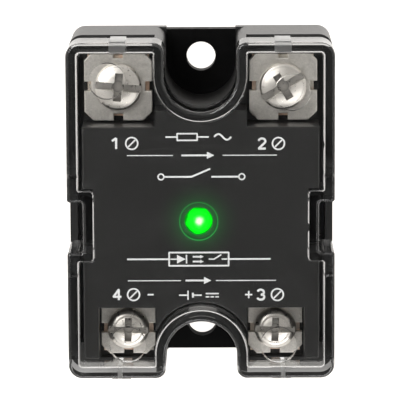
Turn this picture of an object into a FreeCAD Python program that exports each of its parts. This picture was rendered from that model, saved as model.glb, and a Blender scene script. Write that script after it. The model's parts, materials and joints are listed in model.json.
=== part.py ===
import FreeCAD, Part
import os
import re

# Panel-mount solid state relay ("hockey puck" case) lying on its base plate.
# Millimetres. +Z out of the front face, +Y towards the output terminals,
# +X to the right. Origin: centre of the mounting face.

SIZES = {
    # case and cover
    "body_width": 45.5, "body_length": 57.8, "cover_height": 26.5,
    "shoulder_height": 14.2, "rim_height": 18.6, "face_height": 21.5,
    "case_wall": 1.5, "cover_wall": 1.6, "face_inset": 2.5, "running_gap": 0.1,
    "corner_radius": 2.4, "mouth_radius": 1.7, "small_radius": 0.5,
    "cover_edge_radius": 0.6, "cover_hollow_radius": 0.4,
    "cable_entry_wall": 2.3, "access_hole": 6.2, "ejector_mark": 2.6, "ejector_mark_depth": 0.12,
    "latch_slit_top": 0.4, "latch_slit_shift": 0.25, "tab_swell": 0.3, "tab_bottom": 17.6, "face_bevel": 0.2,
    "side_groove_floor": 10.4, "side_groove_length": 50.0,
    "notch_radius": 6.1, "output_notch_y": 23.2, "input_notch_y": 25.1, "notch_post": 7.85,
    "recess_depth": 2.7, "recess_middle": -2.65, "recess_length": 8.6,
    "latch_slit": 0.7, "latch_slit_reach": 8.55, "latch_slot_width": 3.1, "latch_slot_floor": 9.6,
    # base plate
    "plate_thickness": 3.0, "mouth_lip_height": 2.6, "plate_inset": 1.3,
    "plate_end": 28.6, "plate_tab_width": 12.1,
    "hole_spacing": 47.6, "mount_hole": 5.1,
    # terminals: o_ = output pair, i_ = input pair
    "o_screw_x": 14.15, "o_screw_y": 20.25, "i_screw_x": 12.75, "i_screw_y": -22.1,
    "o_clamp_width": 11.7, "o_clamp_length": 12.0, "i_clamp_width": 9.5, "i_clamp_length": 9.3,
    "clamp_thickness": 1.2, "clamp_height": 14.4, "clamp_corner": 1.6, "i_clamp_near_corner": 0.4,
    "clamp_notch_width": 1.6, "clamp_notch_depth": 1.2, "clamp_edge": 0.15,
    "o_head": 8.0, "i_head": 7.2, "o_head_height": 2.3, "i_head_height": 2.5,
    "o_shoulder": 0.6, "i_shoulder": 1.3, "o_crown_rise": 0.55, "i_crown_rise": 0.35,
    "o_shank": 4.0, "i_shank": 3.5, "screw_tip": 7.9,
    "bar_bottom": 12.6, "bar_top": 14.2, "o_bar_width": 10.6, "i_bar_width": 8.6,
    "o_nut_width": 7.0, "i_nut_width": 6.0, "nut_height": 2.8, "strap_width": 5.0, "strap_thickness": 0.9,
    "thread_gap": 0.1, "fit_gap": 0.2, "foot_length": 3.6,
    "pocket_top": 13.95, "tongue_top": 16.8, "o_pocket_outer": 20.9,
    "i_pocket_outer": 17.7, "pocket_inner": 7.9, "i_pocket_top": -17.4, "pocket_end_wall": 1.2,
    "floor_block_bottom": 8.6,
    # indicator
    "led_diameter": 4.7, "led_x": -0.4, "led_y": -2.35, "led_recess": 6.6, "led_recess_depth": 0.25,
    "led_flange": 5.6, "led_flange_top": 17.0, "led_flange_bottom": 16.0, "led_crown": 0.6, "led_lead": 0.5,
    "led_lead_reach": 1.27,
    # inside
    "ceiling_height": 20.0, "inner_half_width": 16.6, "inner_top": 12.1, "inner_bottom": -15.9,
    "board_bottom": 8.6, "board_top": 9.8, "potting_top": 7.2, "potting_inset": 1.55,
    "ceramic_thickness": 0.63, "copper_thickness": 0.3, "seal_thickness": 0.2,
    "ceramic_width": 35.0, "ceramic_depth": 20.6, "ceramic_y": 4.2,
    "track_x": 12.4, "track_y": 6.6, "track_width": 9.2, "track_depth": 15.6,
    "chip_y": 4.0, "chip_width": 6.0, "chip_thickness": 0.4,
    "gate_y": -1.5, "gate_width": 12.0, "gate_depth": 5.0, "gate_pin": 0.8,
    "disc_radius": 4.4, "disc_thickness": 4.2, "disc_x": 7.9, "disc_y": 9.6,
    "resistor_radius": 1.15, "resistor_length": 6.4,
}

DOC = FreeCAD.newDocument("solid_state_relay")
SHEET = DOC.addObject("Spreadsheet::Sheet", "Sizes")
for row, (alias, number) in enumerate(SIZES.items(), start=1):
    SHEET.set(f"A{row}", alias)
    SHEET.set(f"B{row}", str(number))
    SHEET.setAlias(f"B{row}", alias)
DOC.recompute()

NODES = {}
SIDES = {"left": -1, "right": 1}
PAIRS = {"output": "o", "input": "i"}

# Centres of the cover's round openings and moulding marks.
ACCESS_PLACES = {
    "output_left": (-15.7, 22.4), "output_right": (15.6, 20.4),
    "input_left": (-12.6, -23.0), "input_right": (13.2, -23.1),
}
EJECTOR_PLACES = {"upper": (19.7, 11.4), "lower": (17.2, -2.8)}
# End of the cover to its end tabs' distance from the middle and width.
END_TABS = {1: (14.0, 2.7), -1: (13.7, 3.2)}
# End of the cover to how far in the notch posts stand.
POST_ROOM = {1: 14.6, -1: 16.6}
# Degrees each screw's slot is turned from the X axis.
SLOT_ANGLES = {
    ("output", "left"): -5.0, ("output", "right"): 30.0,
    ("input", "left"): -2.0, ("input", "right"): -2.0,
}
# Screw recess sizes as shares of the head's radius or height.
SLOT_DEPTH, SLOT_HALF_WIDTH = 0.42, 0.16
CROSS_DEPTH, CROSS_REACH, CROSS_HALF_WIDTH = 1.45, 0.6, 0.17
PIT_DEPTH, PIT_RADIUS = 1.8, 0.26
# Gap below which two positions count as the same.
TOUCH = 1e-3
# Board parts: centre x, centre y, width, depth, height.
BOARD_BOXES = {
    "optocoupler": (-9.0, -6.5, 6.4, 8.9, 3.5),
    "driver_chip": (9.5, -7.5, 5.0, 6.2, 1.6),
    "snubber_capacitor": (-7.5, 7.5, 13.0, 5.2, 8.6),
    "bridge_rectifier": (0.0, -11.6, 6.2, 4.7, 2.6),
}
RESISTOR_PLACES = ((11.5, 0.6), (11.5, -2.6), (-11.0, 1.6), (6.6, -12.6))
GATE_PIN_REACH = (-4.0, 0.0, 4.0)


# ---------------------------------------------------------------- helpers

def size(alias):
    """Number held by the sheet under this alias."""
    return float(getattr(SHEET, alias))


def on_sheet(text):
    """Expression text with each alias pointed at the sheet."""
    def point(word):
        return f"Sizes.{word.group(0)}" if word.group(0) in SIZES else word.group(0)
    return re.sub(r"[a-z_]+", point, text)


def bind(item, **expressions):
    """Bind properties to expressions; a double underscore stands for a dot."""
    for name, text in expressions.items():
        item.setExpression(name.replace("__", "."), on_sheet(str(text)))
    return item


def block(name, x, y, width, depth, z_low, z_high):
    """Box centred on x, y."""
    return bind(
        DOC.addObject("Part::Box", name),
        Length=width, Width=depth, Height=f"({z_high}) - ({z_low})",
        Placement__Base__x=f"({x}) - ({width}) / 2",
        Placement__Base__y=f"({y}) - ({depth}) / 2",
        Placement__Base__z=z_low,
    )


def rod(name, x, y, diameter, z_low, z_high):
    """Upright cylinder centred on x, y."""
    return bind(
        DOC.addObject("Part::Cylinder", name),
        Radius=f"({diameter}) / 2", Height=f"({z_high}) - ({z_low})",
        Placement__Base__x=x, Placement__Base__y=y, Placement__Base__z=z_low,
    )


def fuse(name, *pieces):
    union = DOC.addObject("Part::MultiFuse", name)
    union.Shapes = list(pieces)
    union.Refine = True
    return union


def group(name, *pieces):
    """Separate identical or matching solids kept in one node."""
    compound = DOC.addObject("Part::Compound", name)
    compound.Links = list(pieces)
    return compound


def cut(name, base, *tools):
    result = DOC.addObject("Part::Cut", name)
    result.Base = base
    result.Tool = tools[0] if len(tools) == 1 else fuse(name + "_tools", *tools)
    result.Refine = True
    return result


def dress(kind, name, base, radius_of):
    """Fillet or chamfer the edges for which radius_of(edge) gives a radius."""
    DOC.recompute()
    item = DOC.addObject(kind, name)
    item.Base = base
    chosen = []
    for index, edge in enumerate(base.Shape.Edges, start=1):
        radius = radius_of(edge)
        if radius:
            chosen.append((index, radius, radius))
    item.Edges = chosen
    return item


def keep(node, item):
    """Name the finished sub-part."""
    item.Label = node
    NODES[node] = item
    return item


def is_upright(edge):
    return len(edge.Vertexes) == 2 and abs(edge.Vertexes[0].Z - edge.Vertexes[1].Z) > 0.9 * edge.Length


def is_level_at(edge, height):
    box = edge.BoundBox
    return abs(box.ZMin - height) < TOUCH and abs(box.ZMax - height) < TOUCH


# ---------------------------------------------------------------- plan outline

def notch_tool(name, end, inset, z_low, z_high):
    """U-shaped notch round a mounting hole, open to the end of the case."""
    centre = "output_notch_y" if end > 0 else "-input_notch_y"
    bow = rod(name + "_bow", "0", centre, f"2 * (notch_radius + {inset})", z_low, z_high)
    mouth = block(
        name + "_mouth", "0", f"{centre} + {end} * body_length / 4",
        f"2 * (notch_radius + {inset})", "body_length / 2", z_low, z_high,
    )
    return fuse(name, bow, mouth)


def recess_tool(name, side, inset, z_low, z_high):
    """Finger recess over the latch in the middle of a long side."""
    depth = f"2 * (recess_depth + {inset})"
    return block(
        name, f"{side} * body_width / 2", "recess_middle", depth,
        f"recess_length + 2 * ({inset})", z_low, z_high,
    )


def outline_block(name, inset, z_low, z_high, recessed):
    """Upright block with the relay's plan outline drawn in by inset."""
    body = block(
        name + "_plan", "0", "0", f"body_width - 2 * ({inset})",
        f"body_length - 2 * ({inset})", z_low, z_high,
    )
    tools = [notch_tool(f"{name}_notch_{k}", end, inset, z_low, z_high) for k, end in enumerate((1, -1))]
    if recessed:
        tools += [recess_tool(f"{name}_recess_{k}", s, inset, z_low, z_high) for k, s in enumerate((1, -1))]
    sharp = cut(name + "_sharp", body, *tools)
    drawn_in = 0.0 if inset == "0" else size(inset)
    half_length = size("body_length") / 2 - drawn_in
    half_width = size("body_width") / 2 - drawn_in
    mouth = size("notch_radius") + drawn_in

    def corner_radius(edge):
        if not is_upright(edge):
            return 0.0
        x, y = abs(edge.Vertexes[0].X), abs(edge.Vertexes[0].Y)
        if abs(y - half_length) < TOUCH and abs(x - half_width) < TOUCH:
            return max(size("corner_radius") - drawn_in, size("small_radius"))
        if abs(y - half_length) < TOUCH and abs(x - mouth) < TOUCH:
            return max(size("mouth_radius") - drawn_in, size("small_radius"))
        if recessed and y < half_length - 1.0 and x > half_width - size("recess_depth") - 1.0:
            return size("small_radius")
        return 0.0

    return dress("Part::Fillet", name, sharp, corner_radius)


# ---------------------------------------------------------------- base plate

def make_base_plate():
    """Aluminium heat-sink plate with a mounting hole in a tab at each end."""
    main = block(
        "plate_main", "0", "0", "body_width - 2 * plate_inset",
        "body_length - 2 * plate_inset", "0", "plate_thickness",
    )
    tab = block("plate_tabs", "0", "0", "plate_tab_width", "2 * plate_end", "0", "plate_thickness")
    slab = fuse("plate_slab", main, tab)
    holes = [
        rod(f"mount_hole_{k}", "0", f"{end} * hole_spacing / 2", "mount_hole", "-1", "plate_thickness + 1")
        for k, end in enumerate((1, -1))
    ]
    keep("base_plate", cut("base_plate_solid", slab, *holes))


def make_seal():
    """Adhesive bead between the base plate's rim and the case."""
    top = "plate_thickness + seal_thickness"
    outer = outline_block("seal_outer", "plate_inset", "plate_thickness", top, False)
    inner = outline_block("seal_inner", "face_inset", "plate_thickness - 1", f"{top} + 1", False)
    keep("base_seal", cut("base_seal_solid", outer, inner))


# ---------------------------------------------------------------- case

def nut_well(pair, side):
    """Well for the captive nut, with room for the screw's tip below it."""
    x = f"{side} * {pair}_screw_x"
    y = f"{pair}_screw_y"
    name = f"well_{pair}_{side + 1}"
    width = f"{pair}_nut_width + 0.1"
    nut = block(name + "_nut", x, y, width, width, "bar_bottom - nut_height", "bar_bottom + 1")
    tip = rod(name + "_tip", x, y, f"{pair}_shank + 1", "screw_tip - 3", "bar_bottom")
    return fuse(name, nut, tip)


def strap_slot(pair, side):
    """Slot in the pocket floor for the terminal's strap."""
    x = f"{side} * {pair}_screw_x"
    y = strap_y(pair)
    return block(
        f"strap_slot_{pair}_{side + 1}", x, y, "strap_width + fit_gap",
        "strap_thickness + fit_gap", "plate_thickness", "bar_bottom + 1",
    )


def strap_y(pair):
    """Middle of the strap that drops from the inner edge of the terminal bar."""
    inner = "-1" if pair == "o" else "1"
    return f"{pair}_screw_y + {inner} * ({pair}_bar_width / 2 - strap_thickness / 2)"


def pocket(pair, side):
    """Terminal pocket, open to the front and to the cable side above the shoulder."""
    outer = f"{pair}_pocket_outer"
    x = f"{side} * ({outer} + pocket_inner) / 2"
    near = "pocket_top" if pair == "o" else "i_pocket_top"
    end = 1 if pair == "o" else -1
    far = f"{end} * (body_length / 2 - pocket_end_wall)"
    return block(
        f"pocket_{pair}_{side + 1}", x, f"({near} + {far}) / 2", f"{outer} - pocket_inner",
        f"{end} * ({far} - {near})", "bar_bottom", "face_height + 1",
    )


def latch_slot(side):
    """Slot in the shoulder that takes the cover's latch tongue and a prying blade."""
    x = f"{side} * (body_width / 2 - recess_depth - cover_wall - running_gap + latch_slot_width / 2)"
    return block(
        f"latch_slot_{side + 1}", x, "recess_middle", "latch_slot_width",
        "recess_length", "latch_slot_floor", "face_height",
    )


def side_groove(side):
    """Deep groove between the raised face and the cover's long wall."""
    x = f"{side} * (body_width / 2 - (face_inset + cover_wall) / 2)"
    return block(
        f"side_groove_{side + 1}", x, "0", "face_inset - cover_wall", "side_groove_length",
        "side_groove_floor", "face_height",
    )


def notch_wall(end):
    """Wall of the notch that rises from the shoulder to the cover's rim."""
    name = f"notch_wall_{end + 1}"
    centre = "output_notch_y" if end > 0 else "-input_notch_y"
    reach = f"body_length / 2 - {end} * ({centre})"
    top = "rim_height - 2 * running_gap"
    bow = rod(name + "_bow", "0", centre, "2 * notch_post", "shoulder_height", top)
    legs = block(
        name + "_legs", "0", f"{centre} + {end} * ({reach}) / 2", "2 * notch_post", reach,
        "shoulder_height", top,
    )
    within = outline_block(name + "_plan", "0", "shoulder_height", top, False)
    wall = DOC.addObject("Part::MultiCommon", name)
    wall.Shapes = [fuse(name + "_post", bow, legs), within]
    return wall


def mouth_lip(end):
    """Low square-cornered lip of the case on both sides of the plate's tab."""
    return block(
        f"mouth_lip_{end + 1}", "0", f"{end} * (body_length / 2 - plate_inset / 2)",
        "2 * notch_post", "plate_inset", "0", "mouth_lip_height",
    )


def make_face_block():
    """Raised middle block whose front carries the printing."""
    drawn_in = outline_block("face_outline", "face_inset", "shoulder_height", "face_height", False)
    room = "cover_wall + running_gap"
    recesses = [
        recess_tool(f"face_recess_{side + 1}", side, room, "shoulder_height", "face_height")
        for side in SIDES.values()
    ]
    above = "body_length"
    clear_left = block(
        "face_clear_left", f"-notch_post - {above} / 2", f"pocket_top + {above} / 2",
        above, above, "shoulder_height", "face_height + 1",
    )
    clear_right = block(
        "face_clear_right", f"notch_post + {above} / 2", f"pocket_top + {above} / 2",
        above, above, "shoulder_height", "face_height + 1",
    )
    clear_top = block(
        "face_clear_top", "0", f"tongue_top + {above} / 2", above, above, "shoulder_height", "face_height + 1",
    )
    trimmed = cut("face_trimmed", drawn_in, clear_left, clear_right, clear_top, *recesses)
    front = size("face_height")
    top = size("pocket_top")
    side_x = size("body_width") / 2 - size("face_inset")

    def bevel(edge):
        if not is_level_at(edge, front) or len(edge.Vertexes) != 2:
            return 0.0
        box = edge.BoundBox
        at_pockets = box.YLength < TOUCH and abs(box.YMin - top) < TOUCH
        at_sides = box.XLength < TOUCH and abs(abs(box.XMin) - side_x) < TOUCH
        return size("face_bevel") if at_pockets or at_sides else 0.0

    return dress("Part::Chamfer", "face_block", trimmed, bevel)


def make_housing():
    """Moulded case: lower tub, raised face, terminal pockets and latch slots."""
    tub = outline_block("tub", "0", "0", "shoulder_height", False)
    ends = [piece(end) for end in (1, -1) for piece in (notch_wall, mouth_lip)]
    solid = fuse("case_solid", tub, make_face_block(), *ends)
    cutters = [
        notch_tool(f"case_notch_{end + 1}", end, "0", "shoulder_height - 1", "cover_height")
        for end in (1, -1)
    ]
    seat_top = "plate_thickness + seal_thickness"
    lower = outline_block("lower_hollow", "case_wall", seat_top, "floor_block_bottom", False)
    upper = block(
        "upper_hollow", "0", "(inner_top + inner_bottom) / 2", "2 * inner_half_width",
        "inner_top - inner_bottom", "floor_block_bottom - 1", "ceiling_height",
    )
    plate_seat = block(
        "plate_seat", "0", "0", "body_width - 2 * plate_inset", "body_length - 2 * plate_inset",
        "-1", seat_top,
    )
    tab_seat = block(
        "tab_seat", "0", "0", "plate_tab_width", "body_length + 2", "-1", "plate_thickness",
    )
    cutters += [lower, upper, plate_seat, tab_seat]
    over = "face_height + 1"
    cutters.append(rod("led_hole", "led_x", "led_y", "led_diameter + fit_gap", "ceiling_height - 1", over))
    cutters.append(rod("led_ring", "led_x", "led_y", "led_recess", "face_height - led_recess_depth", over))
    for side in SIDES.values():
        cutters += [latch_slot(side), side_groove(side)]
        for pair in PAIRS.values():
            cutters += [pocket(pair, side), nut_well(pair, side), strap_slot(pair, side)]
    keep("housing", cut("housing_solid", solid, *cutters))


# ---------------------------------------------------------------- clear cover

def access_holes():
    """Round holes in the cover's panel for the screwdriver."""
    return [
        rod(f"access_{name}", str(x), str(y), "access_hole", "face_height", "cover_height + 1")
        for name, (x, y) in ACCESS_PLACES.items()
    ]


def ejector_marks():
    """Shallow round marks on the inside of the panel."""
    return [
        rod(f"ejector_mark_{name}", str(x), str(y), "ejector_mark", "face_height",
            "cover_height - cover_wall + ejector_mark_depth")
        for name, (x, y) in EJECTOR_PLACES.items()
    ]


def end_tab(end, side):
    """Thickened tab over each cable entry."""
    reach, width = END_TABS[end]
    return block(
        f"end_tab_{end + 1}_{side + 1}", f"{side} * {reach}", f"{end} * (body_length / 2 - cover_wall / 2)",
        str(width), "cover_wall + tab_swell", "tab_bottom", "cover_height - cover_wall / 2",
    )


def latch_tongue(side):
    """Tongue under the recess wall that drops into the case's latch slot."""
    x = f"{side} * (body_width / 2 - recess_depth - cover_wall / 2)"
    return block(
        f"latch_tongue_{side + 1}", x, "recess_middle", "cover_wall - 2 * running_gap",
        "recess_length - 4 * running_gap", "latch_slot_floor + 12 * running_gap", "rim_height",
    )


def latch_slits(side):
    """Slits above and below the finger recess that let its wall flex."""
    return [
        block(
            f"slit_{side + 1}_{step + 1}", f"{side} * body_width / 2",
            f"recess_middle + latch_slit_shift + {step} * latch_slit_reach", "2 * cover_wall + fit_gap",
            "latch_slit", "shoulder_height - 1", "cover_height - cover_wall + latch_slit_top",
        )
        for step in (-1, 1)
    ]


def end_openings(end):
    """Cable entries in an end wall, and room for the case's notch posts."""
    depth = f"(body_length / 2 - {POST_ROOM[end]})"
    entry = block(
        f"cable_entry_{end + 1}", "0", f"{end} * body_length / 2", "body_width + 2",
        "2 * cable_entry_wall", "shoulder_height - 1", "rim_height",
    )
    post = block(
        f"post_room_{end + 1}", "0", f"{end} * (body_length / 2 - {depth} / 2)",
        "2 * (notch_post + running_gap)", depth, "shoulder_height - 1", "rim_height",
    )
    return [entry, post]


def make_cover():
    """Clear guard with driver holes, finger recesses and latches."""
    outer = outline_block("cover_outer", "0", "shoulder_height + running_gap", "cover_height", True)
    inner = outline_block("cover_inner", "cover_wall", "shoulder_height - 1", "cover_height - cover_wall", True)
    front = size("cover_height")
    ceiling = front - size("cover_wall")

    def front_edge(edge):
        return size("cover_edge_radius") if is_level_at(edge, front) else 0.0

    def ceiling_edge(edge):
        return size("cover_hollow_radius") if is_level_at(edge, ceiling) else 0.0

    outer = dress("Part::Fillet", "cover_rounded", outer, front_edge)
    inner = dress("Part::Fillet", "cover_hollow", inner, ceiling_edge)
    cutters = end_openings(1) + end_openings(-1) + access_holes() + ejector_marks()
    for side in SIDES.values():
        cutters += latch_slits(side)
    opened = cut("cover_opened", cut("cover_shell", outer, inner), *cutters)
    extras = [end_tab(end, side) for end in (1, -1) for side in SIDES.values()]
    extras += [latch_tongue(side) for side in SIDES.values()]
    keep("clear_cover", fuse("clear_cover_solid", opened, *extras))


# ---------------------------------------------------------------- terminals

def make_clamp(pair_name, side_name):
    """Square wire-clamping washer with a notch in each side."""
    pair, side = PAIRS[pair_name], SIDES[side_name]
    node = f"{pair_name}_clamp_{side_name}"
    x, y = f"{side} * {pair}_screw_x", f"{pair}_screw_y"
    low, high = "clamp_height", "clamp_height + clamp_thickness"
    plate = block(node + "_plate", x, y, f"{pair}_clamp_width", f"{pair}_clamp_length", low, high)

    near_face = size("i_screw_y")

    def corner(edge):
        if not is_upright(edge):
            return 0.0
        middle_y = edge.BoundBox.Center.y
        under_face = near_face < middle_y < 0
        return size("i_clamp_near_corner") if under_face else size("clamp_corner")

    plate = dress("Part::Chamfer", node + "_cornered", plate, corner)
    over = "clamp_notch_depth * 2"
    tools = [rod(node + "_hole", x, y, f"{pair}_shank + 0.6", f"{low} - 1", f"{high} + 1")]
    for step in (-1, 1):
        tools.append(block(f"{node}_notch_x{step + 1}", f"{x} + {step} * {pair}_clamp_width / 2", y,
                           over, "clamp_notch_width", f"{low} - 1", f"{high} + 1"))
        tools.append(block(f"{node}_notch_y{step + 1}", x, f"{y} + {step} * {pair}_clamp_length / 2",
                           "clamp_notch_width", over, f"{low} - 1", f"{high} + 1"))
    notched = cut(node + "_notched", plate, *tools)
    top = size("clamp_height") + size("clamp_thickness")

    def top_edge(edge):
        return size("clamp_edge") if is_level_at(edge, top) else 0.0

    keep(node, dress("Part::Fillet", node + "_solid", notched, top_edge))


def make_screw(pair_name, side_name, slot_angle):
    """Domed terminal screw with a slot crossed by a short cross recess."""
    pair, side = PAIRS[pair_name], SIDES[side_name]
    node = f"{pair_name}_screw_{side_name}"
    body = DOC.addObject("PartDesign::Body", node + "_body")
    origin = {plane.Role: plane for plane in body.Origin.OriginFeatures}
    seat = size("clamp_height") + size("clamp_thickness")
    profile = body.newObject("Sketcher::SketchObject", node + "_profile")
    profile.AttachmentSupport = [(origin["XZ_Plane"], "")]
    profile.MapMode = "FlatFace"
    shank, head = size(f"{pair}_shank") / 2, size(f"{pair}_head") / 2
    height, tip = size(f"{pair}_head_height"), size("screw_tip") - seat
    draw_shank(profile, shank, head, tip)
    draw_head(profile, head, height, size(f"{pair}_shoulder"), size(f"{pair}_crown_rise"), tip)
    turned = body.newObject("PartDesign::Revolution", node + "_turned")
    turned.Profile = profile
    turned.ReferenceAxis = (profile, ["V_Axis"])
    turned.Angle = 360.0
    DOC.recompute()
    slot_depth = SLOT_DEPTH * height
    half = SLOT_HALF_WIDTH * head
    pocket_from_top(body, origin, node + "_slot", [(-head - 1, -half), (head + 1, half)], height, slot_depth)
    half, arm = CROSS_HALF_WIDTH * head, CROSS_REACH * head
    cross_depth = CROSS_DEPTH * slot_depth
    pocket_from_top(body, origin, node + "_cross", [(-half, -arm), (half, arm)], height, cross_depth)
    pit = body.newObject("PartDesign::Pocket", node + "_pit")
    ring = body.newObject("Sketcher::SketchObject", node + "_pit_sketch")
    place_level_sketch(ring, origin, height)
    ring.addGeometry(Part.Circle(FreeCAD.Vector(0, 0, 0), FreeCAD.Vector(0, 0, 1), PIT_RADIUS * head))
    pit.Profile = ring
    pit.Length = PIT_DEPTH * slot_depth
    DOC.recompute()
    body.Placement = FreeCAD.Placement(
        FreeCAD.Vector(side * size(f"{pair}_screw_x"), size(f"{pair}_screw_y"), seat),
        FreeCAD.Rotation(FreeCAD.Vector(0, 0, 1), slot_angle),
    )
    bind(body, Placement__Base__x=f"{side} * {pair}_screw_x", Placement__Base__y=f"{pair}_screw_y",
         Placement__Base__z="clamp_height + clamp_thickness")
    keep(node, body)


def draw_shank(sketch, shank, head, tip):
    """Half section below the head: pointed shank and flat seat."""
    point = FreeCAD.Vector
    lead = 0.5
    outline = [point(0, tip, 0), point(shank - lead, tip, 0), point(shank, tip + lead, 0),
               point(shank, 0, 0), point(head, 0, 0)]
    for start, stop in zip(outline, outline[1:]):
        sketch.addGeometry(Part.LineSegment(start, stop))


def draw_head(sketch, head, height, shoulder, rise, tip):
    """Half section of the head: upright rim, rounded shoulder and shallow crown."""
    point = FreeCAD.Vector
    crown, crown_z = head - shoulder, height - rise
    rim = crown_z - shoulder
    half_turn = shoulder * 0.5 ** 0.5
    sketch.addGeometry(Part.LineSegment(point(head, 0, 0), point(head, rim, 0)))
    knee = point(crown + half_turn, rim + half_turn, 0)
    sketch.addGeometry(Part.Arc(point(head, rim, 0), knee, point(crown, crown_z, 0)))
    crown_radius = (crown ** 2 + rise ** 2) / (2 * rise)
    centre = height - crown_radius
    middle_x = crown / 2
    middle = point(middle_x, centre + (crown_radius ** 2 - middle_x ** 2) ** 0.5, 0)
    sketch.addGeometry(Part.Arc(point(crown, crown_z, 0), middle, point(0, height, 0)))
    sketch.addGeometry(Part.LineSegment(point(0, height, 0), point(0, tip, 0)))


def place_level_sketch(sketch, origin, height):
    sketch.AttachmentSupport = [(origin["XY_Plane"], "")]
    sketch.MapMode = "FlatFace"
    sketch.AttachmentOffset = FreeCAD.Placement(FreeCAD.Vector(0, 0, height), FreeCAD.Rotation())


def pocket_from_top(body, origin, name, corners, height, depth):
    """Rectangular pocket sunk from the crown of the head."""
    (x_low, y_low), (x_high, y_high) = corners
    sketch = body.newObject("Sketcher::SketchObject", name + "_sketch")
    place_level_sketch(sketch, origin, height)
    points = [FreeCAD.Vector(x, y, 0) for x, y in
              ((x_low, y_low), (x_high, y_low), (x_high, y_high), (x_low, y_high))]
    for start, stop in zip(points, points[1:] + points[:1]):
        sketch.addGeometry(Part.LineSegment(start, stop))
    hollow = body.newObject("PartDesign::Pocket", name)
    hollow.Profile = sketch
    hollow.Length = depth
    DOC.recompute()


def make_terminal(pair_name, side_name):
    """Plated bar under the clamp, with a strap down to the circuit inside."""
    pair, side = PAIRS[pair_name], SIDES[side_name]
    node = f"{pair_name}_terminal_{side_name}"
    x, y = f"{side} * {pair}_screw_x", f"{pair}_screw_y"
    bar = block(node + "_bar", x, y, f"{pair}_bar_width", f"{pair}_bar_width", "bar_bottom", "bar_top")
    foot_bottom = "plate_thickness + ceramic_thickness + copper_thickness" if pair == "o" else \
        "board_bottom - strap_thickness"
    strap = block(node + "_strap", x, strap_y(pair), "strap_width", "strap_thickness",
                  foot_bottom, "bar_bottom")
    inward = -1 if pair == "o" else 1
    foot_y = f"{strap_y(pair)} + {inward} * (foot_length - strap_thickness) / 2"
    foot = block(node + "_foot", x, foot_y, "strap_width", "foot_length", foot_bottom,
                 f"{foot_bottom} + strap_thickness")
    joined = fuse(node + "_joined", bar, strap, foot)
    hole = rod(node + "_hole", x, y, f"{pair}_shank + 0.5", "bar_bottom - 1", "bar_top + 1")
    keep(node, cut(node + "_solid", joined, hole))


def make_nut(pair_name, side_name):
    """Square nut held captive under the terminal bar."""
    pair, side = PAIRS[pair_name], SIDES[side_name]
    node = f"{pair_name}_nut_{side_name}"
    x, y = f"{side} * {pair}_screw_x", f"{pair}_screw_y"
    width = f"{pair}_nut_width"
    nut = block(node + "_blank", x, y, width, width, "bar_bottom - nut_height", "bar_bottom")
    hole = rod(node + "_thread", x, y, f"{pair}_shank + thread_gap", "bar_bottom - 4", "bar_bottom + 1")
    keep(node, cut(node + "_solid", nut, hole))


# ---------------------------------------------------------------- inside

def make_power_stage():
    """Ceramic insulator on the plate with copper tracks and thyristor chips."""
    ceramic_top = "plate_thickness + ceramic_thickness"
    copper_top = f"{ceramic_top} + copper_thickness"
    keep("ceramic_substrate", block("ceramic_tile", "0", "ceramic_y", "ceramic_width", "ceramic_depth",
                                    "plate_thickness", ceramic_top))
    tracks = [block(f"track_{side + 1}", f"{side} * track_x", "track_y", "track_width", "track_depth",
                    ceramic_top, copper_top) for side in SIDES.values()]
    tracks.append(block("track_gate", "0", "gate_y", "gate_width", "gate_depth", ceramic_top, copper_top))
    keep("copper_tracks", group("copper_tracks_group", *tracks))
    chips = [block(f"chip_{side + 1}", f"{side} * track_x", "chip_y", "chip_width", "chip_width",
                   copper_top, f"{copper_top} + chip_thickness") for side in SIDES.values()]
    keep("thyristor_chips", group("thyristor_chips_group", *chips))
    pins = [rod(f"gate_pin_{k}", str(x), "gate_y", "gate_pin", copper_top, "board_bottom")
            for k, x in enumerate(GATE_PIN_REACH)]
    keep("gate_pins", group("gate_pins_group", *pins))


def lying_rod(name, x, y, z, radius, length, along):
    """Cylinder lying along one horizontal axis from its placement point."""
    lying = bind(DOC.addObject("Part::Cylinder", name), Radius=radius, Height=length,
                 Placement__Base__x=x, Placement__Base__y=y, Placement__Base__z=z)
    turn_axis, angle = {"x": ((0, 1, 0), 90), "-y": ((1, 0, 0), 90)}[along]
    lying.Placement.Rotation = FreeCAD.Rotation(FreeCAD.Vector(*turn_axis), angle)
    return lying


def make_board_parts():
    """Trigger circuit: board, optocoupler, driver, snubber and resistors."""
    keep("circuit_board", block(
        "board", "0", "(inner_top + inner_bottom) / 2", "2 * (inner_half_width - fit_gap)",
        "inner_top - inner_bottom - 2 * fit_gap", "board_bottom", "board_top",
    ))
    for node, (x, y, width, depth, height) in BOARD_BOXES.items():
        keep(node, block(node + "_blank", str(x), str(y), str(width), str(depth), "board_top",
                         f"board_top + {height}"))
    keep("surge_suppressor", lying_rod("suppressor_disc", "disc_x", "disc_y", "board_top + disc_radius",
                                       "disc_radius", "disc_thickness", "-y"))
    resistors = [
        lying_rod(f"resistor_{k}", f"{x} - resistor_length / 2", str(y), "board_top + resistor_radius",
                  "resistor_radius", "resistor_length", "x")
        for k, (x, y) in enumerate(RESISTOR_PLACES)
    ]
    keep("resistors", group("resistors_group", *resistors))


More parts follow.
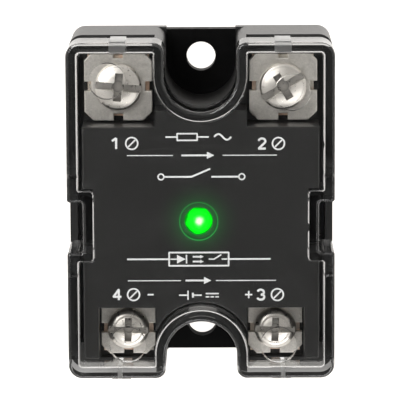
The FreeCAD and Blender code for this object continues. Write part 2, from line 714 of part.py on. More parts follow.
def make_indicator():
    """Round status lamp: flanged lens body on two leads."""
    top = "face_height - led_recess_depth - 0.1"
    shoulder = f"{top} - led_crown"
    neck = rod("led_neck", "led_x", "led_y", "led_diameter", "led_flange_top", shoulder)
    flange = rod("led_flange_disc", "led_x", "led_y", "led_flange", "led_flange_bottom", "led_flange_top")
    crown = bind(DOC.addObject("Part::Cone", "led_crown_cone"), Radius1="led_diameter / 2",
                 Radius2="led_diameter / 2 - led_crown", Height="led_crown", Placement__Base__x="led_x",
                 Placement__Base__y="led_y", Placement__Base__z=shoulder)
    leads = [rod(f"led_lead_{side + 1}", f"led_x + {side} * led_lead_reach", "led_y", "led_lead",
                 "board_top", "led_flange_bottom") for side in SIDES.values()]
    keep("indicator_lamp", fuse("indicator_lamp_solid", neck, flange, crown, *leads))


def make_potting():
    """Resin poured over the power stage, moulded round what stands in it."""
    bottom = "plate_thickness + seal_thickness"
    fill = outline_block("potting_fill", "potting_inset", bottom, "potting_top", False)
    strap_top = "plate_thickness + ceramic_thickness + copper_thickness + strap_thickness"
    room = [block("potting_ceramic_room", "0", "ceramic_y", "ceramic_width", "ceramic_depth",
                  "plate_thickness - 1", "plate_thickness + ceramic_thickness")]
    for node in ("copper_tracks", "thyristor_chips", "gate_pins"):
        copy = DOC.copyObject(NODES[node], True)
        copy.Label = node + "_room"
        room.append(copy)
    for side in SIDES.values():
        x = f"{side} * o_screw_x"
        foot_y = f"{strap_y('o')} - (foot_length - strap_thickness) / 2"
        room.append(block(f"potting_foot_room_{side + 1}", x, foot_y, "strap_width", "foot_length",
                          "plate_thickness", strap_top))
        room.append(block(f"potting_strap_room_{side + 1}", x, strap_y("o"), "strap_width", "strap_thickness",
                          "plate_thickness", "potting_top + 1"))
    keep("potting_compound", cut("potting_solid", fill, *room))


def check_and_write():
    """Stop on any failed object, then write one file for each sub-part."""
    DOC.recompute()
    failed = [item.Name for item in DOC.Objects if {"Invalid", "Error"} & set(item.State)]
    if failed:
        raise RuntimeError(f"failed objects: {failed}")
    os.makedirs("parts", exist_ok=True)
    for node, item in NODES.items():
        shape = item.Shape
        if shape.isNull() or not shape.isValid() or not shape.Solids:
            raise RuntimeError(f"bad shape: {node}")
        shape.exportStep(f"parts/{node}.step")
        print(f"{node:26s} solids {len(shape.Solids)}  volume {shape.Volume:9.2f} mm3")


make_base_plate()
make_seal()
make_housing()
make_cover()
for (pair_word, side_word), angle in SLOT_ANGLES.items():
    make_clamp(pair_word, side_word)
    make_screw(pair_word, side_word, angle)
    make_terminal(pair_word, side_word)
    make_nut(pair_word, side_word)
make_power_stage()
make_board_parts()
make_indicator()
make_potting()
check_and_write()
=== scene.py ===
import json
import math

import bpy
import bmesh
from mathutils import Matrix, Vector


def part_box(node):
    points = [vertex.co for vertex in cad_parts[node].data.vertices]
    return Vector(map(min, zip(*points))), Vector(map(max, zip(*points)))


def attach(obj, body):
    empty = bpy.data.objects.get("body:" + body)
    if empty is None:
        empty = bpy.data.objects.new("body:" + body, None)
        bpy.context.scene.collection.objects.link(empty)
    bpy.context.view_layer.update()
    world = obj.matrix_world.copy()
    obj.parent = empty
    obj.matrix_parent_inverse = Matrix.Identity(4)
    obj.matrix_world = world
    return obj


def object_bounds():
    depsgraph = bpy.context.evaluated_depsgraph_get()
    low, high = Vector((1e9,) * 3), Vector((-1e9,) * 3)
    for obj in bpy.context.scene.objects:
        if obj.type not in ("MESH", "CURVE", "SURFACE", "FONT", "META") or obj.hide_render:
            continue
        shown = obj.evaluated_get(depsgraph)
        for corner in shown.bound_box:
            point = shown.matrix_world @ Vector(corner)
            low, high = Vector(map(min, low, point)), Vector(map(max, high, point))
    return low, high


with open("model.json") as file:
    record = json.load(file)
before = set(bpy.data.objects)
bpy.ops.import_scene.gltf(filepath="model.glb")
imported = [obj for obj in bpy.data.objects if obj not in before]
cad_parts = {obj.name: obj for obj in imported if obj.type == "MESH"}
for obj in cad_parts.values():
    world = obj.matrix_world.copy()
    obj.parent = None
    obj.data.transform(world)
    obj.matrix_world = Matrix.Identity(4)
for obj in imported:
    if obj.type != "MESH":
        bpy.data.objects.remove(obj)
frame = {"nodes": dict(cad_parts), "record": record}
CAD_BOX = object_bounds()
NODES = frame["nodes"]
MM = 0.001

# Landmarks read from the frame.
CASE_LOW, CASE_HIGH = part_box("housing")
FACE_Z = CASE_HIGH.z
LAMP_LOW, LAMP_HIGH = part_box("indicator_lamp")
LAMP_X = (LAMP_LOW.x + LAMP_HIGH.x) / 2
LAMP_Y = (LAMP_LOW.y + LAMP_HIGH.y) / 2
COVER_LOW, COVER_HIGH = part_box("clear_cover")


# ---------------------------------------------------------------- node helpers

# Sockets of a Mix node set to colours.
MIX_FIRST, MIX_SECOND, MIX_RESULT = 6, 7, 2


class Shader:
    """A material's node tree with short ways to add to it."""

    def __init__(self, name):
        self.material = bpy.data.materials.new(name)
        self.material.use_nodes = True
        self.tree = self.material.node_tree
        self.nodes = self.tree.nodes
        self.surface = self.nodes["Principled BSDF"]
        self.output = self.nodes["Material Output"]

    def set(self, **sockets):
        """Constants on the surface's own sockets, with _ for a space."""
        for name, value in sockets.items():
            self.surface.inputs[name.replace("_", " ")].default_value = value

    def node(self, kind, **settings):
        """New node with its settings."""
        added = self.nodes.new(kind)
        for name, value in settings.items():
            setattr(added, name, value)
        return added

    def link(self, source, target):
        self.tree.links.new(source, target)

    def place(self):
        """Object coordinates, in metres."""
        return self.node("ShaderNodeTexCoord").outputs["Object"]

    def noise(self, scale, detail, roughness=0.5, stretch=None):
        """Noise over the surface; scale is features per metre."""
        texture = self.node("ShaderNodeTexNoise")
        texture.inputs["Scale"].default_value = scale
        texture.inputs["Detail"].default_value = detail
        texture.inputs["Roughness"].default_value = roughness
        source = self.place()
        if stretch:
            mapping = self.node("ShaderNodeMapping")
            mapping.inputs["Scale"].default_value = stretch
            self.link(source, mapping.inputs["Vector"])
            source = mapping.outputs["Vector"]
        self.link(source, texture.inputs["Vector"])
        return texture.outputs["Fac"]

    def ramp(self, source, low, high, to_low, to_high):
        """Clamped linear map of one number."""
        mapped = self.node("ShaderNodeMapRange")
        self.link(source, mapped.inputs["Value"])
        limits = {"From Min": low, "From Max": high, "To Min": to_low, "To Max": to_high}
        for name, value in limits.items():
            mapped.inputs[name].default_value = value
        return mapped.outputs["Result"]

    def spread(self, noise, low, high):
        """Noise mapped from its usual range, 0.3 to 0.7, to run from low to high."""
        return self.ramp(noise, 0.3, 0.7, low, high)

    def blend(self, factor, first, second):
        """Colour between two colours."""
        mix = self.node("ShaderNodeMix", data_type="RGBA")
        self.link(factor, mix.inputs["Factor"])
        mix.inputs[MIX_FIRST].default_value = first
        mix.inputs[MIX_SECOND].default_value = second
        return mix.outputs[MIX_RESULT]

    def stops(self, source, table):
        """Colour or level along a number that runs from 0 to 1."""
        ramp = self.node("ShaderNodeValToRGB")
        band = ramp.color_ramp
        while len(band.elements) < len(table):
            band.elements.new(1.0)
        for element, (position, colour) in zip(band.elements, table):
            element.position = position
            element.color = colour if isinstance(colour, tuple) else grey(colour)
        self.link(source, ramp.inputs["Fac"])
        return ramp.outputs["Color"]

    def math(self, operation, first, second=0.0):
        """One step of arithmetic on sockets or numbers."""
        step = self.node("ShaderNodeMath", operation=operation)
        for socket, value in zip(step.inputs, (first, second)):
            if isinstance(value, (int, float)):
                socket.default_value = value
            else:
                self.link(value, socket)
        return step.outputs[0]

    def colour(self, source):
        self.link(source, self.surface.inputs["Base Color"])

    def roughness(self, source):
        self.link(source, self.surface.inputs["Roughness"])

    def bump(self, height, distance, strength):
        """Surface relief; distance is its depth in metres."""
        bump = self.node("ShaderNodeBump")
        bump.inputs["Distance"].default_value = distance
        bump.inputs["Strength"].default_value = strength
        self.link(height, bump.inputs["Height"])
        self.link(bump.outputs["Normal"], self.surface.inputs["Normal"])

    def distance_from_axis(self, x, y):
        """Distance from an upright axis."""
        split = self.node("ShaderNodeSeparateXYZ")
        self.link(self.place(), split.inputs[0])
        across = self.math("SUBTRACT", split.outputs["X"], x)
        along = self.math("SUBTRACT", split.outputs["Y"], y)
        across_squared = self.math("MULTIPLY", across, across)
        along_squared = self.math("MULTIPLY", along, along)
        return self.math("SQRT", self.math("ADD", across_squared, along_squared))


def grey(level, warmth=0.0):
    """Neutral colour; warmth lifts red and drops blue."""
    return (level * (1 + warmth), level, level * (1 - warmth), 1.0)


def warm(level):
    """Slightly yellow grey of nickel plating."""
    return (level * 1.05, level, level * 0.93, 1.0)


# ---------------------------------------------------------------- materials

# How far a recess in the metal reaches for its walls to darken it with painted shade.
PAINTED_SHADE_REACH = 1.1 * MM

# How far the painted glow of the lamp spreads over the face, and its strength by share of that reach.
# The bright step is a painted highlight: the lit edge of the ring moulded round the lamp.
PAINTED_GLOW_REACH = 7.0 * MM
PAINTED_GLOW_LEVELS = [
    (0.33, 0.20), (0.36, 0.13), (0.42, 0.075), (0.452, 0.085),
    (0.461, 0.42), (0.470, 0.42), (0.480, 0.075), (0.53, 0.045),
    (0.60, 0.028), (0.72, 0.014), (0.85, 0.005), (1.0, 0.0),
]

# The lens's light by share of its radius, from the middle out, and how ragged its rim is.
LENS_RADIUS = 2.35 * MM
LENS_RAGGED = 0.22 * MM
LENS_LIGHT = [
    (0.0, (0.87, 1.0, 0.70, 1.0)),
    (0.15, (0.84, 1.0, 0.66, 1.0)),
    (0.24, (0.42, 1.0, 0.38, 1.0)),
    (0.36, (0.05, 0.98, 0.07, 1.0)),
    (0.5, (0.0, 0.97, 0.008, 1.0)),
    (0.88, (0.0, 0.95, 0.003, 1.0)),
    (0.95, (0.0, 0.55, 0.003, 1.0)),
    (1.0, (0.0, 0.25, 0.004, 1.0)),
]

# Light lost inside the clear cover, per metre.
COVER_ABSORPTION = 42.0

# Frosted part of the cover's end tabs: distance from the middle line, depth from the end,
# half widths at the output and the input end, and roughness.
TAB_X = 14.0 * MM
TAB_DEPTH = 1.75 * MM
OUTPUT_TAB_HALF = 1.4 * MM
INPUT_TAB_HALF = 0.35 * MM
TAB_ROUGHNESS = 0.38


def case_plastic():
    """Moulded black plastic with a fine spark-eroded grain and the lamp's glow painted on the face as
    light the case gives off.
    """
    shader = Shader("case_plastic")
    shader.set(Specular_IOR_Level=0.5, Emission_Color=(0.01, 1.0, 0.12, 1.0))
    shader.colour(shader.blend(shader.noise(260, 4), grey(0.015, 0.02), grey(0.019, 0.02)))
    shader.roughness(shader.spread(shader.noise(900, 3), 0.285, 0.315))
    shader.bump(shader.noise(5200, 2, 0.6), 0.04 * MM, 0.35)
    # Painted glow: the case itself gives off green light, strongest near the lamp, with a painted
    # highlight on the ring's edge.
    away = shader.math("DIVIDE", shader.distance_from_axis(LAMP_X, LAMP_Y), PAINTED_GLOW_REACH)
    glow = shader.stops(away, PAINTED_GLOW_LEVELS)
    shader.link(glow, shader.surface.inputs["Emission Strength"])
    return shader.material


def clear_plastic():
    """Clear polycarbonate, faintly hazed, that lets light through to what it covers."""
    shader = Shader("clear_plastic")
    shader.set(Transmission_Weight=1.0, IOR=1.52, Base_Color=(0.93, 0.928, 0.92, 1.0))
    tabs = frosted_tabs(shader)
    haze = shader.ramp(shader.noise(420, 3), 0.35, 0.75, 0.012, 0.05)
    shader.roughness(shader.math("MAXIMUM", haze, shader.math("MULTIPLY", tabs, TAB_ROUGHNESS)))
    shader.bump(shader.noise(90, 2), 0.03 * MM, 0.12)
    light_path = shader.node("ShaderNodeLightPath")
    clear = shader.node("ShaderNodeBsdfTransparent")
    clear.inputs["Color"].default_value = (0.93, 0.94, 0.94, 1.0)
    mix = shader.node("ShaderNodeMixShader")
    shader.link(light_path.outputs["Is Shadow Ray"], mix.inputs[0])
    shader.link(shader.surface.outputs[0], mix.inputs[1])
    shader.link(clear.outputs[0], mix.inputs[2])
    shader.link(mix.outputs[0], shader.output.inputs["Surface"])
    smoke = shader.node("ShaderNodeVolumeAbsorption")
    smoke.inputs["Color"].default_value = (0.0, 0.01, 0.03, 1.0)
    smoke.inputs["Density"].default_value = COVER_ABSORPTION
    shader.link(smoke.outputs[0], shader.output.inputs["Volume"])
    return shader.material


def frosted_tabs(shader):
    """Mask of the thickened tabs in the cover's two end walls."""
    split = shader.node("ShaderNodeSeparateXYZ")
    shader.link(shader.place(), split.inputs[0])
    side = shader.math("ABSOLUTE", split.outputs["X"])
    from_tab = shader.math("ABSOLUTE", shader.math("SUBTRACT", side, TAB_X))
    wide = shader.math("LESS_THAN", from_tab, OUTPUT_TAB_HALF)
    narrow = shader.math("LESS_THAN", from_tab, INPUT_TAB_HALF)
    output_end = shader.math("GREATER_THAN", split.outputs["Y"], COVER_HIGH.y - TAB_DEPTH)
    input_end = shader.math("LESS_THAN", split.outputs["Y"], COVER_LOW.y + TAB_DEPTH)
    output_tab = shader.math("MULTIPLY", wide, output_end)
    input_tab = shader.math("MULTIPLY", narrow, input_end)
    return shader.math("ADD", output_tab, input_tab)


def nickel(name, level, rough_low, rough_high, grain_scale, speckle=0.1, recess_shade_level=0.55):
    """Warm nickel plating with speckle, fine grain and painted shade darkening its recesses."""
    shader = Shader(name)
    shader.set(Metallic=1.0)
    plated = shader.blend(
        shader.noise(grain_scale, 6, 0.7),
        warm(level * (1 - speckle)), warm(level * (1 + speckle)),
    )
    # Painted shade: the plating's colour is darkened where walls close in, such as screw slots, notches
    # and gaps.
    recess = shader.node("ShaderNodeAmbientOcclusion", samples=8)
    recess.inputs["Distance"].default_value = PAINTED_SHADE_REACH
    painted_recess_shade = shader.ramp(recess.outputs["AO"], 0.35, 0.85, recess_shade_level, 1.0)
    shade = shader.node("ShaderNodeMix", data_type="RGBA", blend_type="MULTIPLY")
    shade.inputs["Factor"].default_value = 1.0
    shader.link(plated, shade.inputs[MIX_FIRST])
    shader.link(painted_recess_shade, shade.inputs[MIX_SECOND])
    shader.colour(shade.outputs[MIX_RESULT])
    shader.roughness(shader.spread(shader.noise(1500, 4, 0.6), rough_low, rough_high))
    shader.bump(shader.noise(grain_scale, 3, 0.6), 0.02 * MM, 0.5)
    return shader.material


def tinned_copper():
    """Tin over copper, with the copper showing through in warm patches."""
    shader = Shader("tinned_copper")
    shader.set(Metallic=1.0)
    worn = shader.ramp(shader.noise(300, 4, 0.6), 0.38, 0.62, 0.0, 1.0)
    shader.colour(shader.blend(worn, (0.66, 0.62, 0.55, 1.0), (0.80, 0.56, 0.42, 1.0)))
    shader.roughness(shader.spread(shader.noise(1500, 4, 0.6), 0.36, 0.5))
    shader.bump(shader.noise(3000, 3, 0.6), 0.02 * MM, 0.5)
    return shader.material


def anodised_plate():
    """Black anodised aluminium, sawn grain along the extrusion."""
    shader = Shader("anodised_plate")
    shader.set(Specular_IOR_Level=0.06)
    shader.colour(shader.blend(shader.noise(700, 3), grey(0.002), grey(0.005)))
    shader.roughness(shader.spread(shader.noise(900, 3, 0.5, (1, 0.05, 1)), 0.36, 0.5))
    shader.bump(shader.noise(4200, 2, 0.5, (1, 0.03, 1)), 0.03 * MM, 0.3)
    return shader.material


def lamp_lens():
    """Lit green lens: near white at its middle, deep green at its ragged rim."""
    shader = Shader("lamp_lens")
    shader.set(Roughness=0.25, IOR=1.5, Base_Color=(0.0, 0.03, 0.005, 1.0), Emission_Strength=1.5)
    ragged = shader.spread(shader.noise(650, 3), -LENS_RAGGED, LENS_RAGGED)
    away = shader.math("ADD", shader.distance_from_axis(LAMP_X, LAMP_Y), ragged)
    light = shader.stops(shader.math("DIVIDE", away, LENS_RADIUS), LENS_LIGHT)
    shader.link(light, shader.surface.inputs["Emission Color"])
    shader.bump(shader.noise(800, 2), 0.05 * MM, 0.2)
    return shader.material


# Features per metre, and relief, in the finish of the pieces inside the case.
INNER_GRAIN = 900
INNER_RELIEF = 0.04 * MM


def inner(name, low, high, roughness, metallic=0.0):
    """Patterned finish for a piece inside the case."""
    shader = Shader(name)
    shader.set(Metallic=metallic)
    shader.colour(shader.blend(shader.noise(INNER_GRAIN, 4), low + (1.0,), high + (1.0,)))
    smooth, rough = roughness * 0.85, roughness * 1.15
    shader.roughness(shader.spread(shader.noise(INNER_GRAIN * 1.7, 3), smooth, rough))
    shader.bump(shader.noise(INNER_GRAIN * 3, 3), INNER_RELIEF, 0.4)
    return shader.material


def white_ink():
    """Pad-printed white ink with slightly uneven cover."""
    shader = Shader("white_ink")
    shader.colour(shader.blend(shader.noise(2600, 4), grey(0.74), grey(0.9)))
    shader.roughness(shader.spread(shader.noise(1800, 2), 0.4, 0.55))
    shader.bump(shader.noise(5000, 2), 0.01 * MM, 0.3)
    return shader.material


MATERIALS = {
    "case": case_plastic(),
    "cover": clear_plastic(),
    "plate": anodised_plate(),
    "lamp": lamp_lens(),
    "nickel_clamp": nickel("nickel_clamp", 0.68, 0.34, 0.46, 2600, 0.4, 0.9),
    "nickel_screw": nickel("nickel_screw", 0.70, 0.26, 0.33, 1600, 0.05, 0.42),
    "nickel_bar": tinned_copper(),
    "zinc_nut": nickel("zinc_nut", 0.52, 0.38, 0.5, 3000),
    "seal": inner("seal_rubber", (0.02, 0.02, 0.02), (0.04, 0.04, 0.04), 0.8),
    "ceramic": inner("ceramic", (0.78, 0.77, 0.73), (0.88, 0.87, 0.84), 0.55),
    "copper": inner("copper", (0.66, 0.34, 0.2), (0.78, 0.46, 0.3), 0.35, 1.0),
    "silicon": inner("silicon", (0.12, 0.12, 0.15), (0.2, 0.2, 0.24), 0.2, 0.6),
    "pins": inner("tinned_pins", (0.6, 0.58, 0.54), (0.72, 0.7, 0.66), 0.35, 1.0),
    "board": inner("board_green", (0.01, 0.10, 0.035), (0.02, 0.16, 0.06), 0.4),
    "chip_body": inner("chip_body", (0.015, 0.015, 0.016), (0.03, 0.03, 0.03), 0.55),
    "film_box": inner("film_box", (0.38, 0.04, 0.03), (0.48, 0.07, 0.05), 0.3),
    "suppressor": inner("suppressor", (0.03, 0.09, 0.32), (0.05, 0.13, 0.42), 0.3),
    "resistor_body": inner("resistor_body", (0.5, 0.36, 0.2), (0.62, 0.47, 0.3), 0.35),
    "resin": inner("resin", (0.02, 0.02, 0.022), (0.035, 0.035, 0.038), 0.35),
}
WHITE_INK = white_ink()


def dress_nodes():
    """Give every CAD node its slot's material."""
    for part in frame["record"]["subparts"]:
        mesh = NODES[part["node"]].data
        mesh.materials.clear()
        mesh.materials.append(MATERIALS[part["material_slot"]])


# ---------------------------------------------------------------- printing
# Marks are drawn in millimetres from the middle of the case.

INK_THICKNESS = 0.02 * MM
# Each stroke of a mark stands this much above the one before it, so crossings stay clean.
INK_STEP = 0.0004 * MM


def ink_piece(name, shapes):
    """One printed mark made of flat polygons, a hair thick, on the face."""
    mesh = bpy.data.meshes.new(name)
    build = bmesh.new()
    for order, outline in enumerate(shapes):
        corners = [build.verts.new((x * MM, y * MM, FACE_Z)) for x, y in outline]
        face = build.faces.new(corners)
        raised = bmesh.ops.extrude_face_region(build, geom=[face])
        lifted = [v for v in raised["geom"] if isinstance(v, bmesh.types.BMVert)]
        bmesh.ops.translate(build, verts=lifted, vec=(0, 0, INK_THICKNESS + order * INK_STEP))
    bmesh.ops.recalc_face_normals(build, faces=build.faces)
    build.to_mesh(mesh)
    build.free()
    piece = bpy.data.objects.new(name, mesh)
    bpy.context.scene.collection.objects.link(piece)
    mesh.materials.append(WHITE_INK)
    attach(piece, "case_body")


def bar(x_low, x_high, y_low, y_high):
    """Upright rectangle between its limits."""
    return [(x_low, y_low), (x_high, y_low), (x_high, y_high), (x_low, y_high)]


def line(x_low, x_high, y, weight):
    """Level line with its middle at y."""
    return bar(x_low, x_high, y - weight / 2, y + weight / 2)


def wave(x, y, width, height, weight, steps=24):
    """One period of a sine, one quad to a step."""
    shares = [k / steps for k in range(steps + 1)]
    points = [
        (x + width * (share - 0.5), y + height / 2 * math.sin(2 * math.pi * share))
        for share in shares
    ]
    shapes = []
    for (ax, ay), (bx, by) in zip(points, points[1:]):
        run = math.hypot(bx - ax, by - ay)
        nx, ny = -(by - ay) / run * weight / 2, (bx - ax) / run * weight / 2
        shapes.append([(ax + nx, ay + ny), (ax - nx, ay - ny), (bx - nx, by - ny), (bx + nx, by + ny)])
    return shapes


# How far each run of a stroke passes its ends, by share of half the stroke's width.
OVERRUN = 0.4


def stroke(points, width, closed=False):
    """Band of a set width along a chain of points, one quad to a run."""
    shapes = []
    ends = points[1:] + points[:1] if closed else points[1:]
    for (ax, ay), (bx, by) in zip(points, ends):
        run = math.hypot(bx - ax, by - ay)
        ux, uy = (bx - ax) / run * width / 2, (by - ay) / run * width / 2
        ax, ay = ax - ux * OVERRUN, ay - uy * OVERRUN
        bx, by = bx + ux * OVERRUN, by + uy * OVERRUN
        shapes.append([(ax - uy, ay + ux), (ax + uy, ay - ux), (bx + uy, by - ux), (bx - uy, by + ux)])
    return shapes


def arc(x, y, across, up, start, stop, steps=14):
    """Points along an ellipse, degrees from +X."""
    turns = [math.radians(start + (stop - start) * k / steps) for k in range(steps + 1)]
    return [(x + across * math.cos(t), y + up * math.sin(t)) for t in turns]


def digit(number, x, y, height, weight):
    """Plain bold figure drawn with even strokes, centred on x, y."""
    w, h = height * 0.27, height / 2 - weight / 2
    chains = {
        1: [
            [(-w * 0.9, h * 0.52), (w * 0.15, h)],
            [(w * 0.25, h), (w * 0.25, -h)],
        ],
        2: [
            arc(0, h * 0.45, w, h * 0.55, 165, -28) + [(-w, -h)],
            [(-w, -h), (w, -h)],
        ],
        3: [
            arc(-w * 0.1, h * 0.48, w * 0.95, h * 0.52, 155, -82),
            arc(-w * 0.1, -h * 0.46, w * 1.08, h * 0.54, 82, -155),
        ],
        4: [
            [(w * 0.45, h), (-w * 1.15, -h * 0.42)],
            [(-w * 1.15, -h * 0.42), (w * 1.15, -h * 0.42)],
            [(w * 0.45, h), (w * 0.45, -h)],
        ],
    }[number]
    return [[(x + px, y + py) for px, py in quad] for chain in chains for quad in stroke(chain, weight)]


def terminal_symbol(x, y, radius, weight):
    """Screw head seen from above: a ring with a slanting slot."""
    ring = stroke(arc(x, y, radius, radius, 0, 360, 28), weight)
    half = radius * 0.55
    slot = stroke([(x - half, y - half), (x + half, y + half)], weight)
    return ring + slot


def triangle(x, y, width, height):
    """Triangle pointing along the sign of width."""
    return [(x - width / 2, y - height / 2), (x + width / 2, y), (x - width / 2, y + height / 2)]


def arrow(x, y, length, head=1.25):
    """Arrow to the right with its middle at x, y."""
    tip = x + length / 2
    return [line(x - length / 2, tip - head * 0.8, y, 0.3), triangle(tip - head / 2, y, head, head)]


def frame_lines(x, y, width, height, weight):
    """Outline of a rectangle centred on x, y."""
    corners = bar(x - width / 2, x + width / 2, y - height / 2, y + height / 2)
    return stroke(corners, weight, closed=True)


def load_symbol(x, y, length):
    """Plain load box between two leads."""
    box, lead = length * 0.46, 0.26
    ends = [line(x - length / 2, x - box / 2, y, lead), line(x + box / 2, x + length / 2, y, lead)]
    return frame_lines(x, y, box, 1.15, lead) + ends


def cell_symbol(x, y, length):
    """Battery cell: a long and a short plate between two leads."""
    gap, lead = 0.55, 0.24
    ends = [line(x - length / 2, x - gap / 2, y, lead), line(x + gap / 2, x + length / 2, y, lead)]
    plates = [
        bar(x - gap / 2 - lead, x - gap / 2, y - 0.8, y + 0.8),
        bar(x + gap / 2, x + gap / 2 + lead * 1.4, y - 0.42, y + 0.42),
    ]
    return ends + plates


def switch_symbol(x, y):
    """Open contact between two leads that end in rings."""
    reach, gap, rise, weight = 6.4, 1.7, 1.35, 0.3
    ring, ring_weight = 0.5, 0.24
    shapes = stroke([(x - gap, y), (x + gap * 0.85, y + rise)], weight)
    for low, high in ((-reach, -gap), (gap, reach)):
        shapes.append(line(x + low, x + high, y, weight))
    for side in (-1, 1):
        shapes += stroke(arc(x + side * (reach + ring), y, ring, ring, 0, 360, 20), ring_weight)
    return shapes


def relay_symbol(x, y):
    """Coupled light source and switch between their leads."""
    weight, thin = 0.28, 0.22
    shapes = frame_lines(x, y, 10.2, 2.3, weight)
    shapes += [line(x - 12.3, x - 5.1, y, weight), line(x + 5.1, x + 12.3, y, weight)]
    shapes += [triangle(x - 3.0, y, 1.5, 1.5), bar(x - 2.25, x - 2.0, y - 0.75, y + 0.75)]
    shapes += [line(x - 4.9, x - 3.7, y, thin)]
    for side in (1, -1):
        shapes += arrow(x - 0.1, y + side * 0.42, 1.9, 0.62)
    shapes += [line(x + 1.7, x + 2.6, y, thin), line(x + 3.9, x + 4.9, y, thin)]
    shapes += stroke([(x + 2.6, y), (x + 3.8, y + 0.75)], 0.24)
    return shapes


# Each terminal's number and where its mark is: the figure to the left, a screw symbol to
# the right.
TERMINALS = [(1, -13.0, 11.2), (2, 12.0, 11.1), (4, -12.9, -15.07), (3, 11.8, -15.15)]
FIGURE_LEFT, FIGURE_HEIGHT, FIGURE_WEIGHT = 1.55, 2.1, 0.36
SCREW_RIGHT, SCREW_RADIUS, SCREW_WEIGHT = 1.25, 1.02, 0.26

# Rules either side of the flow arrows: name, height on the face, and the two runs.
RULES = [
    ("output", 9.1, ((-12.6, -4.74), (3.74, 13.0))),
    ("input", -12.65, ((-12.6, -3.5), (2.5, 12.8))),
]
RULE_WEIGHT = 0.16


def print_face():
    """Terminal numbers, polarity signs, rules and plain circuit symbols."""
    for number, x, y in TERMINALS:
        figure = digit(number, x - FIGURE_LEFT, y, FIGURE_HEIGHT, FIGURE_WEIGHT)
        screw = terminal_symbol(x + SCREW_RIGHT, y, SCREW_RADIUS, SCREW_WEIGHT)
        ink_piece(f"mark_number_{number}", figure)
        ink_piece(f"mark_terminal_{number}", screw)
    ink_piece("mark_minus", [bar(-9.25, -8.2, -15.22, -14.95)])
    ink_piece("mark_plus", [bar(7.5, 8.75, -15.26, -15.0), bar(8.0, 8.26, -15.75, -14.5)])
    for name, y, runs in RULES:
        ink_piece(f"rule_{name}", [line(low, high, y, RULE_WEIGHT) for low, high in runs])
    ink_piece("mark_load", load_symbol(-2.3, 12.27, 7.4))
    ink_piece("mark_ac", wave(3.75, 12.27, 2.9, 1.0, 0.3))
    ink_piece("mark_cell", cell_symbol(-1.9, -15.2, 3.9))
    dashes = [bar(0.75 + 0.82 * k, 1.35 + 0.82 * k, -15.62, -15.38) for k in range(3)]
    ink_piece("mark_dc", [bar(0.75, 2.99, -15.05, -14.81)] + dashes)
    ink_piece("mark_out", arrow(-0.5, 9.1, 5.6))
    ink_piece("mark_in", arrow(-0.5, -12.63, 4.4))
    ink_piece("mark_switch", switch_symbol(0.1, 5.4))
    ink_piece("mark_relay", relay_symbol(-0.4, -8.9))


# ---------------------------------------------------------------- stage, light, camera

# The table runs this far each way, this much below the relay, and glows this much where it
# is seen directly.
FLOOR_REACH = 1.5
FLOOR_GAP = 0.05 * MM
FLOOR_SEEN = 1.1

# Light that the table sends up: dimmer in a painted soft shadow about the case's input end, which
# lies away from the key light. Share of the way across the painted shadow, then level.
SHADOW_REACH = 12.0 * MM
SHADOW_LEVELS = [
    (0.0, 0.74), (0.20, 0.66), (0.31, 0.34), (0.36, 0.14), (0.5, 0.08), (0.8, 0.5), (1.0, 0.74),
]


def stage_floor():
    """Pale glowing table under the relay, with a painted shadow in the light it sends up."""
    mesh = bpy.data.meshes.new("floor")
    height = CAD_BOX[0].z - FLOOR_GAP
    corners = bar(-FLOOR_REACH, FLOOR_REACH, -FLOOR_REACH, FLOOR_REACH)
    mesh.from_pydata([(x, y, height) for x, y in corners], [], [(0, 1, 2, 3)])
    floor = bpy.data.objects.new("floor", mesh)
    bpy.context.scene.collection.objects.link(floor)
    shader = Shader("pale_floor")
    shader.set(Base_Color=grey(0.3), Roughness=0.8, Emission_Color=(1.0, 0.965, 0.925, 1.0))
    seen = shader.node("ShaderNodeLightPath").outputs["Is Camera Ray"]
    split = shader.node("ShaderNodeSeparateXYZ")
    shader.link(shader.place(), split.inputs[0])
    # Painted shadow: outside direct view, the table's glow dims in a band across the case's input end.
    outer, inmost = CASE_LOW.y - SHADOW_REACH, CASE_LOW.y + SHADOW_REACH
    across = shader.ramp(split.outputs["Y"], outer, inmost, 0.0, 1.0)
    bounce_with_painted_shadow = shader.stops(across, SHADOW_LEVELS)
    strength = shader.node("ShaderNodeMix", data_type="RGBA")
    shader.link(seen, strength.inputs["Factor"])
    shader.link(bounce_with_painted_shadow, strength.inputs[MIX_FIRST])
    strength.inputs[MIX_SECOND].default_value = grey(FLOOR_SEEN)
    shader.link(strength.outputs[MIX_RESULT], shader.surface.inputs["Emission Strength"])
    mesh.materials.append(shader.material)


# Way to the middle of the dark card. It hangs where the printed face mirrors the photo's
# viewpoint, so that the face looks black from there. Then the tent's brightness, from the
# side away from the card (0) to the card's middle (1).
CARD_WAY = (0.0, -0.167, 0.986)
WORLD_LEVELS = [
    (0.0, 0.3), (0.42, 0.70), (0.62, 0.72), (0.88, 0.72), (0.945, 0.66),
    (0.968, 0.50), (0.982, 0.20), (0.989, 0.05), (1.0, 0.03),
]


def studio_world():
    """Bright light tent with a dark card hung over the relay."""
    world = bpy.data.worlds.new("studio")
    bpy.context.scene.world = world
    world.use_nodes = True
    nodes, links = world.node_tree.nodes, world.node_tree.links
    background = nodes["Background"]
    direction = nodes.new("ShaderNodeTexCoord")
    toward_card = nodes.new("ShaderNodeVectorMath")
    toward_card.operation = "DOT_PRODUCT"
    toward_card.inputs[1].default_value = CARD_WAY
    level = nodes.new("ShaderNodeMapRange")
    ramp = nodes.new("ShaderNodeValToRGB")
    links.new(direction.outputs["Generated"], toward_card.inputs[0])
    links.new(toward_card.outputs["Value"], level.inputs["Value"])
    level.inputs["From Min"].default_value = -1.0
    links.new(level.outputs["Result"], ramp.inputs["Fac"])
    while len(ramp.color_ramp.elements) < len(WORLD_LEVELS):
        ramp.color_ramp.elements.new(1.0)
    for element, (position, value) in zip(ramp.color_ramp.elements, WORLD_LEVELS):
        element.position = position
        element.color = grey(value, 0.02)
    links.new(ramp.outputs["Color"], background.inputs["Color"])


# Both lights aim near the middle of the printed face.
LIGHT_AIM = (0, 0, 0.02)


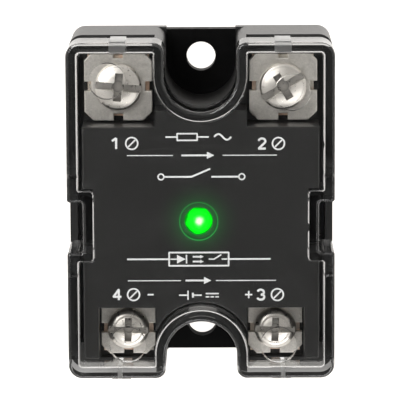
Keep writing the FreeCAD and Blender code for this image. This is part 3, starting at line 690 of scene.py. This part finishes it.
def soft_light(name, place, aim, width, height, power):
    """Softbox facing aim; sizes in metres, power in watts."""
    light = bpy.data.lights.new(name, "AREA")
    light.shape = "RECTANGLE"
    light.size = width
    light.size_y = height
    light.energy = power
    lamp = bpy.data.objects.new(name, light)
    lamp.location = place
    lamp.rotation_euler = (Vector(aim) - Vector(place)).to_track_quat("-Z", "Y").to_euler()
    bpy.context.scene.collection.objects.link(lamp)


# The camera looks at about the middle of the relay, from its output side.
CAMERA_DISTANCE = 0.5471
CAMERA_TILT = math.radians(9.64)
CAMERA_YAW = math.radians(0.43)
CAMERA_ROLL = math.radians(-0.28)
CAMERA_TARGET = Vector((-0.00022, 0.00001, 0.014))
CAMERA_LENS = 283.8
SENSOR_WIDTH = 36.0


def place_camera():
    """Camera above the front face, leaning towards the output end."""
    level = math.cos(CAMERA_TILT)
    toward = Vector((
        math.sin(CAMERA_YAW) * level,
        math.sin(CAMERA_TILT),
        math.cos(CAMERA_YAW) * level,
    ))
    right = Vector((0, 1, 0)).cross(toward).normalized()
    up = toward.cross(right)
    rolled_right = right * math.cos(CAMERA_ROLL) + up * math.sin(CAMERA_ROLL)
    rolled_up = up * math.cos(CAMERA_ROLL) - right * math.sin(CAMERA_ROLL)
    camera = bpy.data.cameras.new("camera")
    camera.lens = CAMERA_LENS
    camera.sensor_width = SENSOR_WIDTH
    camera.clip_start = 0.01
    camera.clip_end = 10.0
    holder = bpy.data.objects.new("camera", camera)
    bpy.context.scene.collection.objects.link(holder)
    turn = Matrix((rolled_right, rolled_up, toward)).transposed().to_4x4()
    holder.matrix_world = Matrix.Translation(CAMERA_TARGET + toward * CAMERA_DISTANCE) @ turn
    bpy.context.scene.camera = holder


dress_nodes()
print_face()
stage_floor()
studio_world()
soft_light("key_light", (-0.34, 0.29, 0.50), LIGHT_AIM, 0.42, 0.42, 2.7)
soft_light("fill_light", (0.26, -0.58, 0.62), LIGHT_AIM, 1.2, 0.6, 4.4)
place_camera()
bpy.context.scene.view_settings.view_transform = "Standard"
